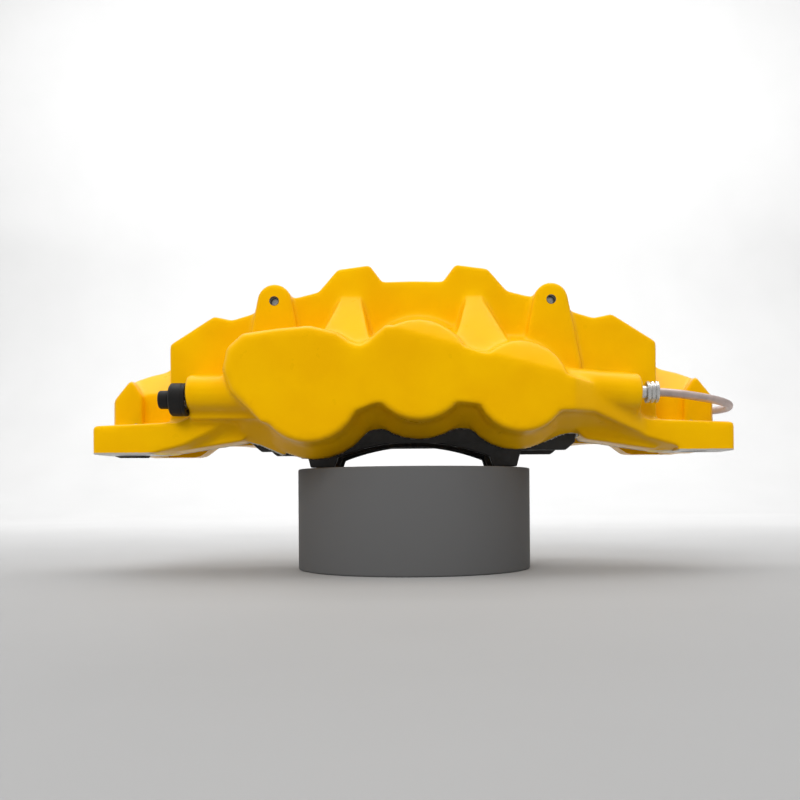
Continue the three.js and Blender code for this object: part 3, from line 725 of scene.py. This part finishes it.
def machined_cutters():
    """Tools that cut the slots, bores, ports and holes out of the rounded casting."""
    reach = PAD_SLOT_HALF_LENGTH + ALLOWANCE
    wall = PAD_SLOT_HALF + ALLOWANCE
    radius = DISC_SLOT_RADIUS + ALLOWANCE
    half = DISC_SLOT_HALF + ALLOWANCE
    disc = [(0, -half), (radius, -half), (radius, half), (0, half)]
    cutters = [
        block("slot", (-reach, reach), (-wall, wall), (BEYOND_Z, ARCH_UNDER_Z - 1), bare),
        lathe("disc", disc, (0, 0, DISC_AXIS_Z), "y", slot_paint, segments=512, edge=0),
    ]
    under = (BEYOND_Z, EAR_UNDER + ALLOWANCE)
    for ends in ((-BEYOND_X, -EAR_START), (EAR_START, BEYOND_X)):
        cutters.append(block("ear_face", ends, (-BEYOND_Y, -DISC_SLOT_HALF), under, bare))
        cutters.append(block("end_under", ends, (-DISC_SLOT_HALF, BEYOND_Y), under, slot_paint))
    everywhere = [(-BEYOND_X, BEYOND_X), (-BEYOND_LOBES, BEYOND_LOBES), (BEYOND_Z, BODY_UNDER)]
    cutters.append(block("below", *everywhere, slot_paint))
    # Corners where the disc slot leaves the pad slot, cleared of slivers
    for x in ((-98.2, -97), (97, 98.2)):
        for y in ((-20.8, -19.4), (19.4, 20.8)):
            cutters.append(block("slot_corner", x, y, (BEYOND_Z, 17), slot_paint))
    for side in SIDES.values():
        cutters += [bore_cutter(bore, side) for bore in BORES]
        y = side * LINE_Y
        port = [
            (0, PORT_DEPTH), (PORT_RADIUS, PORT_DEPTH), (PORT_RADIUS, 0.7),
            (PORT_RADIUS + 0.6, 0.1), (CAP_SEAT_RADIUS, 0.1), (CAP_SEAT_RADIUS, -5), (0, -5),
        ]
        cutters.append(lathe("port", port, (BLEED_X, y, BLEED_Z), "x", bare, 1, edge=0))
        cutters.append(lathe("port", port, (PORT_X, y, PORT_Z), "x", bare, -1, edge=0))
    for x in (-PIN_X, PIN_X):
        bored = PIN_RADIUS + GAP
        through = [
            (0, -43), (bored, -43), (bored, LUG_FACE - 0.3), (bored + 0.6, LUG_FACE + 0.3),
            (bored + 0.6, BEYOND_Y), (0, BEYOND_Y),
        ]
        cutters.append(lathe("pin_bore", through, (x, 0, PIN_Z), "y", bare, edge=0))
        mouth = PUNCH_RADIUS + 0.5
        punch = [
            (0, -BEYOND_Y), (mouth, -BEYOND_Y), (mouth, -LUG_FACE - 0.1),
            (PUNCH_RADIUS, 0.5 - LUG_FACE), (PUNCH_RADIUS, -42), (0, -42),
        ]
        cutters.append(lathe("punch_hole", punch, (x, 0, PIN_Z), "y", bare, edge=0))
    for x in (-EAR_BOLT_X, EAR_BOLT_X):
        hole = [
            (0, 0), (EAR_BOLT_RADIUS, 0), (EAR_BOLT_RADIUS, EAR_TOP - 0.3),
            (SPOTFACE_RADIUS, EAR_TOP - 0.3), (SPOTFACE_RADIUS, 40), (0, 40),
        ]
        cutters.append(lathe("ear_hole", hole, (x, EAR_BOLT_Y, 0), "z", bare, edge=0))
    inlet_x, inlet_y, inlet_z = INLET
    seat = [
        (0, LINE_Z - 1), (PORT_RADIUS, LINE_Z - 1), (PORT_RADIUS, inlet_z - 0.6),
        (PORT_RADIUS + 0.7, inlet_z), (7, inlet_z), (7, 70), (0, 70),
    ]
    cutters.append(lathe("inlet_seat", seat, (inlet_x, inlet_y, 0), "z", bare, edge=0))
    return cutters


def casting():
    points, faces = casting_mesh()
    body = from_faces("casting", points, faces, paint, angle=40)
    body.data.materials.append(bare)
    cut(body, machined_cutters())
    smooth(body.data, 40)
    fit(body, "caliper", "body_paint", "caliper_body")


casting()


# ---- Pistons, seals and boots -----------------------------------------------------------------
def piston(label, number, bore):
    """Hollow cup with a groove for the boot's lip."""
    x, z, radius = bore
    cup = radius - PISTON_WALL
    profile = [
        (0, PISTON_BOTTOM), (radius - 1.2, PISTON_BOTTOM), (radius, PISTON_BOTTOM - 1.2),
        (radius, 40.2), (radius - 0.8, 39.8), (radius - 0.8, 37.6), (radius, 37.2),
        (radius, PISTON_NOSE + 0.7), (radius - 0.7, PISTON_NOSE), (cup + 0.8, PISTON_NOSE),
        (cup, PISTON_NOSE + 0.8), (cup, 40), (cup - 0.5, 40.6), (cup - 0.5, 52), (cup - 1.6, 53),
        (cup * 0.35, 53), (cup * 0.3, 52.4), (0, 52.4),
    ]
    piece = lathe(
        f"piston_cup_{label}_{number}", profile, (x, 0, z), "y", piston_finish, SIDES[label], 96,
    )
    fit(piece, f"piston_{label}_{number}", "piston", f"piston_{label}_{number}")


def piston_seal(label, number, bore):
    x, z, radius = bore
    inner, outer = radius + GAP, radius + SEAL_DEPTH
    low, high = SEAL_FROM + GAP, SEAL_TO - GAP
    profile = [(inner, low), (outer, low), (outer, high), (inner, high)]
    piece = lathe(
        f"seal_ring_{label}_{number}", profile, (x, 0, z), "y", black_rubber, SIDES[label], 96,
        edge=0.4,
    )
    fit(piece, "caliper", "rubber", f"piston_seal_{label}_{number}")


def dust_boot(label, number, bore):
    """Bellows with a lip on the piston and a bead in the pocket."""
    x, z, radius = bore
    mouth, back = PAD_SLOT_HALF + GAP, PAD_SLOT_HALF + BOOT_DEPTH - GAP
    inner, outer = radius + GAP, radius + BOOT_WIDTH - GAP
    fold = (outer - inner) / 4
    profile = [
        (inner, mouth), (inner + fold, mouth + 0.1), (inner + 1.4 * fold, mouth + 1.7),
        (inner + 1.8 * fold, mouth + 1.7), (inner + 2.2 * fold, mouth + 0.3),
        (inner + 2.9 * fold, mouth + 0.3), (outer, mouth + 1.5), (outer, back), (inner, back),
    ]
    piece = lathe(
        f"bellows_{label}_{number}", profile, (x, 0, z), "y", boot_rubber, SIDES[label], 96,
        edge=0.3,
    )
    fit(piece, "caliper", "rubber", f"dust_boot_{label}_{number}")


for label in SIDES:
    for number, bore in enumerate(BORES, 1):
        piston(label, number, bore)
        piston_seal(label, number, bore)
        dust_boot(label, number, bore)


# ---- Pads -------------------------------------------------------------------------------------
PAD_UNDERSIDE = [
    (PAD_HALF, 14.4), (91.6, 10.8), (90, 9.6), (63.5, 9.6), (61, 0), (47, 0), (45, 6),
]
PAD_ARCH_TOP = 14.8
LINING_RADIUS = 188
LINING_HALF = 88


def underside(reach, shoulder, crest):
    """Curve across the pad's concave underside, from +X to -X."""
    control = 2 * crest - shoulder
    points = []
    for k in range(1, 24):
        t = k / 24
        x = reach * (1 - 2 * t)
        points.append((x, shoulder * (1 - t) ** 2 + control * 2 * t * (1 - t) + shoulder * t * t))
    return points


def mirrored(outline):
    """The outline's left half, in the order that closes it."""
    return [(-x, z) for x, z in reversed(outline)]


def backing_plate(label):
    half = [(58, 88), (66, 88)]
    half += arc(PIN_X, PIN_Z, 8.5, math.pi - 0.35, 0.1)
    half += [(PAD_HALF, 76)]
    right = half + PAD_UNDERSIDE
    arch = underside(45, 6, PAD_ARCH_TOP)
    outline = right + arch + mirrored(right)
    holes = [circle(x, PIN_Z, 4.5) for x in (-PIN_X, PIN_X)]
    holes += [circle(x, 24, 2.0, 20) for x in (-86, 86)]
    side = SIDES[label]
    piece = plate(
        f"backing_plate_{label}", [soften(outline, 0.8, 3), *holes],
        side * PLATE_INNER, side * PLATE_OUTER, coating, 0.5,
    )
    fit(piece, f"pad_{label}", "pad_plate", f"pad_plate_{label}")


def lining(label):
    edge = math.asin(LINING_HALF / LINING_RADIUS)
    side = SIDES[label]
    outline = arc(0, DISC_AXIS_Z, LINING_RADIUS, math.pi / 2 + edge, math.pi / 2 - edge, 48)
    right = [(91, 50), (91, 18), (62, 9.5), (60, 1.5), (48, 1.5), (46, 8)]
    arch = underside(46, 8, PAD_ARCH_TOP)
    outline = outline + right + arch + mirrored(right)
    piece = plate(
        f"lining_block_{label}", [soften(outline, 1.0, 3)],
        side * LINING_INNER, side * LINING_OUTER, friction, 0.5,
    )
    inner = sorted((side * (LINING_INNER - 1), side * (LINING_INNER + 7)))
    groove = block("wear_groove", (-1.5, 1.5), inner, (-5, 100), friction)
    cut(piece, [groove])
    smooth(piece.data)
    fit(piece, f"pad_{label}", "friction", f"pad_lining_{label}")


def shim(label):
    right = [(54, 86), (70, 80), (90, 70), (90, 20), (70, 14)]
    outline = right + mirrored(right)
    slots = [
        soften([(x - 6, 62), (x + 6, 62), (x + 6, 66), (x - 6, 66)], 2, 4) for x in (-30, 30)
    ]
    side = SIDES[label]
    piece = plate(
        f"shim_plate_{label}", [soften(outline, 2.5, 5), *slots],
        side * SHIM_INNER, side * SHIM_OUTER, coating, 0.12,
    )
    fit(piece, f"pad_{label}", "pad_plate", f"pad_shim_{label}")


def abutment(label, name):
    """Stainless plate that a pad's end slides on."""
    hand = HANDS[name]
    side = SIDES[label]
    near, far = PAD_HALF + 0.4, PAD_SLOT_HALF_LENGTH - 0.4
    back = PAD_SLOT_HALF - 0.5
    outline = soften([(21, 17), (back, 17), (back, 63), (21, 63)], 1.5, 5)
    window = soften([(25, 34), (31, 34), (31, 46), (25, 46)], 1.5, 5)
    mesh = filled_outline([outline, window], far - near, 0.2)
    for vertex in mesh.vertices:
        y, z, x = vertex.co
        vertex.co = in_frame((hand * ((near + far) / 2 + x), side * y, z))
    tidy_mesh(mesh)
    piece = new_object(f"slide_plate_{label}_{name}", mesh, stainless)
    fit(piece, "caliper", "stainless", f"abutment_plate_{label}_{name}")


def pad_pin(name):
    """Plain pin with a groove for its collar near the outboard end."""
    groove = PIN_RADIUS - 0.5
    profile = [
        (0, -41.6), (2.4, -41.6), (PIN_RADIUS, -40), (PIN_RADIUS, 36), (groove, 36.4),
        (groove, 38.2), (PIN_RADIUS, 38.6), (PIN_RADIUS, 46), (3.2, 47.2), (1.6, 47.2),
        (1.2, 46.4), (0, 46.4),
    ]
    at = (HANDS[name] * PIN_X, 0, PIN_Z)
    piece = lathe(f"retaining_pin_{name}", profile, at, "y", stainless, 1, 64)
    fit(piece, f"pad_pin_{name}", "stainless", f"pad_pin_{name}")


def pad_spring():
    """Leaf spring cut from thin strip and pressed to its wave."""
    wave = [(0, 92.6), (18, 92.6), (40, 91.8), (58, 89.6), (72, 91.5), (84, 91.5), (90, 89.4)]
    right = [(22, 15.5), (22, 33), (61, 33), (61, 15.5), (90, 15.5)]
    half = right + [(x, -y) for x, y in reversed(right)]
    outline = half + [(-x, y) for x, y in reversed(half)]
    windows = [
        [(x0, -9), (x1, -9), (x1, 9), (x0, 9)] for x0, x1 in ((-48, -26), (-12, 12), (26, 48))
    ]
    mesh = filled_outline([soften(outline, 2.5, 5), *[soften(window, 2, 5) for window in windows]])
    work = bmesh.new()
    work.from_mesh(mesh)
    bmesh.ops.remove_doubles(work, verts=work.verts, dist=1e-5)
    for x in range(-88, 89, 2):
        geometry = list(work.verts) + list(work.edges) + list(work.faces)
        bmesh.ops.bisect_plane(
            work, geom=geometry, plane_co=(x, 0, 0), plane_no=(1, 0, 0), dist=1e-5,
        )
    bmesh.ops.remove_doubles(work, verts=work.verts, dist=0.01)
    bmesh.ops.dissolve_degenerate(work, dist=0.005, edges=work.edges)
    work.to_mesh(mesh)
    work.free()
    places, heights = zip(*wave)
    for vertex in mesh.vertices:
        x, y, _ = vertex.co
        spread = [np.interp(abs(x) + shift, places, heights) for shift in (-4, -2, 0, 2, 4)]
        vertex.co = in_frame((x, y, float(np.mean(spread)) - 0.4))
    piece = new_object("leaf_spring", mesh, spring_steel)
    thicken = piece.modifiers.new("thickness", "SOLIDIFY")
    thicken.thickness = 0.8 * MM
    thicken.offset = 0
    apply_modifiers(piece)
    tidy_mesh(piece.data)
    fit(piece, "caliper", "stainless", "pad_spring")


for label in SIDES:
    backing_plate(label)
    lining(label)
    shim(label)
    for name in HANDS:
        abutment(label, name)
for name in HANDS:
    pad_pin(name)
pad_spring()


# ---- Hydraulic fittings -----------------------------------------------------------------------
def bleed_screw(label):
    """Screw with a conical seat, a thread, a hexagon, a barb and a drilled outlet."""
    at = (BLEED_X, SIDES[label] * LINE_Y, BLEED_Z)
    crest = PORT_RADIUS - GAP
    root = crest - 0.5
    threads = []
    for k in range(10):
        base = -11.6 + k
        threads += [(root, base), (crest, base + 0.5)]
    profile = [
        (0, -15.5), (1.2, -15.5), (root, -12), *threads, (3.6, -1), (3.6, 0.6), (5.6, 0.6),
        (6.35, 1.3), (6.35, 6.6), (5.6, 7.2), (3.6, 7.2), (3.6, 9), (2.6, 10.5), (3.4, 12.2),
        (2.6, 15), (1.2, 15), (1.1, 4), (0, 4),
    ]
    piece = lathe(f"bleed_nipple_{label}", profile, at, "x", zinc, -1, 72, flats=11, edge=0.12)
    fit(piece, f"bleed_screw_{label}", "zinc_steel", f"bleed_screw_{label}")


def bleed_cap(label):
    """Hollow cap with a ribbed skirt and a narrower nose."""
    at = (BLEED_X, SIDES[label] * LINE_Y, BLEED_Z)
    profile = [
        (9.4, 0.5), (9.4, 2.0), (9.2, 2.3), (9.2, 2.7), (9.4, 3.0), (9.35, 8.9), (8.4, 9.8),
        (5.6, 10.0), (5.0, 10.6), (5.25, 11.2), (5.2, 15.6), (4.6, 16.4), (1.5, 16.4),
        (1.2, 16.1), (0.01, 16.1), (0.01, 15.4), (3.9, 15.4), (3.9, 8.6), (7, 8.6), (7, 0.5),
    ]
    piece = lathe(f"dust_cap_{label}", profile, at, "x", black_rubber, -1, 72, edge=0.35)
    fit(piece, f"bleed_cap_{label}", "rubber", f"bleed_cap_{label}")


def pipe_nut(label):
    """Hexagon nut with three ridges, screwed into the port."""
    at = (PORT_X, SIDES[label] * LINE_Y, PORT_Z)
    bore = PIPE_RADIUS + 0.6
    ridges = []
    for start in (3.2, 5.7, 8.2):
        ridges += [
            (5.3, start), (6.1, start + 0.3), (6.35, start + 0.8), (6.35, start + 1.4),
            (6.1, start + 1.9), (5.3, start + 2.2),
        ]
    profile = [
        (bore, -13), (PORT_RADIUS - GAP, -13), (PORT_RADIUS - GAP, -0.5), (3.9, 0), (3.9, 3.1),
        *ridges, (bore, 10.4),
    ]
    piece = lathe(f"tube_nut_{label}", profile, at, "x", zinc, 1, 96, flats=11.8, edge=0.15)
    fit(piece, "caliper", "zinc_steel", f"pipe_nut_{label}")


def crossover_pipe():
    """Bent tube from one side's nut round the end of the body to the other's."""
    half = [
        (118, LINE_Y, 0), (130, LINE_Y, 0), (142, LINE_Y, 0.2), (155, 55.5, 1.4), (174, 44.5, 3.1),
        (189.5, 24, 4.2),
    ]
    route = [(x, -y, PORT_Z - sag) for x, y, sag in half]
    route.append((PIPE_REACH, 0, PORT_Z - 4.6))
    route += [(x, y, PORT_Z - sag) for x, y, sag in reversed(half)]
    smooth_route = []
    for i in range(len(route) - 1):
        before = np.array(route[max(i - 1, 0)])
        start, end = np.array(route[i]), np.array(route[i + 1])
        after = np.array(route[min(i + 2, len(route) - 1)])
        length = np.linalg.norm(end - start)
        leave = (end - before) / max(np.linalg.norm(end - before), 1e-6) * length
        arrive = (after - start) / max(np.linalg.norm(after - start), 1e-6) * length
        for k in range(10):
            t = k / 10
            smooth_route.append(
                start * (2 * t ** 3 - 3 * t ** 2 + 1) + leave * (t ** 3 - 2 * t ** 2 + t)
                + end * (3 * t ** 2 - 2 * t ** 3) + arrive * (t ** 3 - t ** 2)
            )
    smooth_route.append(np.array(route[-1]))
    curve = bpy.data.curves.new("route", "CURVE")
    curve.dimensions = "3D"
    curve.bevel_depth = PIPE_RADIUS
    curve.bevel_resolution = 10
    curve.use_fill_caps = True
    spline = curve.splines.new("POLY")
    spline.points.add(len(smooth_route) - 1)
    for point, place in zip(spline.points, smooth_route):
        point.co = (*place, 1)
    holder = bpy.data.objects.new("route", curve)
    mesh = bpy.data.meshes.new_from_object(holder)
    bpy.data.objects.remove(holder)
    for vertex in mesh.vertices:
        vertex.co = in_frame(vertex.co)
    tidy_mesh(mesh, 50)
    piece = new_object("bent_tube", mesh, tube)
    fit(piece, "caliper", "tube_steel", "crossover_pipe")


def inlet_plug():
    """Soft plug with a finger hole, sunk in the hose port."""
    outer = PORT_RADIUS - GAP
    profile = [
        (0, -8), (3.6, -8), (outer, -7), (outer, -0.4), (4.3, 0), (2.4, 0), (2.2, -3.6),
        (0, -3.8),
    ]
    piece = lathe("transit_plug", profile, INLET, "z", plastic, 1, 64)
    fit(piece, "caliper", "plug", "inlet_plug")


def bolt_insert(name):
    """Sleeve that lines an ear's bolt hole."""
    low, high = EAR_UNDER + 0.4, EAR_TOP - 0.4
    outer = EAR_BOLT_RADIUS - GAP
    inner = 5.4
    profile = [
        (inner, low + 0.5), (inner + 0.5, low), (outer, low), (outer, high), (inner + 0.5, high),
        (inner, high - 0.5),
    ]
    at = (HANDS[name] * EAR_BOLT_X, EAR_BOLT_Y, 0)
    piece = lathe(f"ear_sleeve_{name}", profile, at, "z", stainless)
    fit(piece, "caliper", "stainless", f"bolt_insert_{name}")


for label in SIDES:
    bleed_screw(label)
    bleed_cap(label)
    pipe_nut(label)
crossover_pipe()
inlet_plug()
for name in HANDS:
    bolt_insert(name)


# ---- Studio -----------------------------------------------------------------------------------
FLOOR_Z = -62
FLOOR_REACH = 4000
SWEEP_START = 1300
SWEEP_RADIUS = 700
BACKDROP_TOP = 3200
FOOT_RADIUS = 72
CAMERA = (0, -589, -16)
CAMERA_ROLL = 0.4

# What the lights aim at, in metres as their own places are
BODY_MIDDLE = (0, 0, 0.05)


def studio():
    """Pale floor that sweeps up behind, and a round foot that carries the pads."""
    floor_white = studio_grey("floor_white", 165)
    foot_grey = studio_grey("foot_grey", 92)
    sweep = [(-FLOOR_REACH, FLOOR_Z), (SWEEP_START, FLOOR_Z)]
    for k in range(1, 17):
        angle = math.pi / 2 * k / 16
        across = SWEEP_START + SWEEP_RADIUS * math.sin(angle)
        sweep.append((across, FLOOR_Z + SWEEP_RADIUS * (1 - math.cos(angle))))
    sweep.append((SWEEP_START + SWEEP_RADIUS, BACKDROP_TOP))
    points = [(x, y, z) for y, z in sweep for x in (-FLOOR_REACH, FLOOR_REACH)]
    faces = [(2 * i, 2 * i + 1, 2 * i + 3, 2 * i + 2) for i in range(len(sweep) - 1)]
    floor = from_faces("floor", points, faces, floor_white, angle=60)
    foot_profile = [(0, FLOOR_Z), (FOOT_RADIUS, FLOOR_Z), (FOOT_RADIUS, -0.4), (0, -0.4)]
    foot = lathe("foot", foot_profile, (0, 0, 0), "z", foot_grey, 1, 128, edge=1.2)


def area_light(name, position, aim, size, power):
    """Rectangular light placed and aimed in metres."""
    data = bpy.data.lights.new(name, "AREA")
    data.shape = "RECTANGLE"
    data.size, data.size_y = size
    data.energy = power
    light = bpy.data.objects.new(name, data)
    light.location = position
    light.rotation_euler = (Vector(aim) - Vector(position)).to_track_quat("-Z", "Y").to_euler()
    bpy.context.scene.collection.objects.link(light)
    return light


def world_light():
    """Soft white surroundings, brightest above and behind."""
    world = bpy.data.worlds.new("surroundings")
    world.use_nodes = True
    tree = world.node_tree
    coordinates = tree.nodes.new("ShaderNodeTexCoord")
    towards = tree.nodes.new("ShaderNodeVectorMath")
    towards.operation = "DOT_PRODUCT"
    towards.inputs[1].default_value = (0, 0.5, 0.87)
    tree.links.new(coordinates.outputs["Generated"], towards.inputs[0])
    ramp = tree.nodes.new("ShaderNodeMapRange")
    ramp.inputs["From Min"].default_value = -0.35
    ramp.inputs["From Max"].default_value = 0.75
    ramp.inputs["To Min"].default_value = 0.45
    ramp.inputs["To Max"].default_value = 0.9
    tree.links.new(towards.outputs["Value"], ramp.inputs["Value"])
    background = tree.nodes["Background"]
    background.inputs["Color"].default_value = (1, 1, 1, 1)
    tree.links.new(ramp.outputs["Result"], background.inputs["Strength"])
    bpy.context.scene.world = world


def camera():
    """Level camera below the body's middle, rolled a little, with its frame shifted up."""
    data = bpy.data.cameras.new("camera")
    data.lens = 42.26
    data.sensor_width = 36
    data.shift_x = -0.0175
    data.shift_y = 0.1175
    data.clip_start = 0.01
    made = bpy.data.objects.new("camera", data)
    made.location = in_frame(CAMERA)
    made.rotation_euler = (math.pi / 2, math.radians(CAMERA_ROLL), 0)
    bpy.context.scene.collection.objects.link(made)
    bpy.context.scene.camera = made


studio()
world_light()
area_light("overhead", (0, 0.05, 1.1), BODY_MIDDLE, (1.2, 0.6), 4)
key = area_light("key", (-0.5, -1.9, 1.4), BODY_MIDDLE, (1.2, 0.8), 25)
key.visible_glossy = False
area_light("backdrop", (0, 0.9, 1.3), (0, 2.0, 0.3), (3.0, 0.8), 62)
camera()
bpy.context.scene.view_settings.view_transform = "Standard"
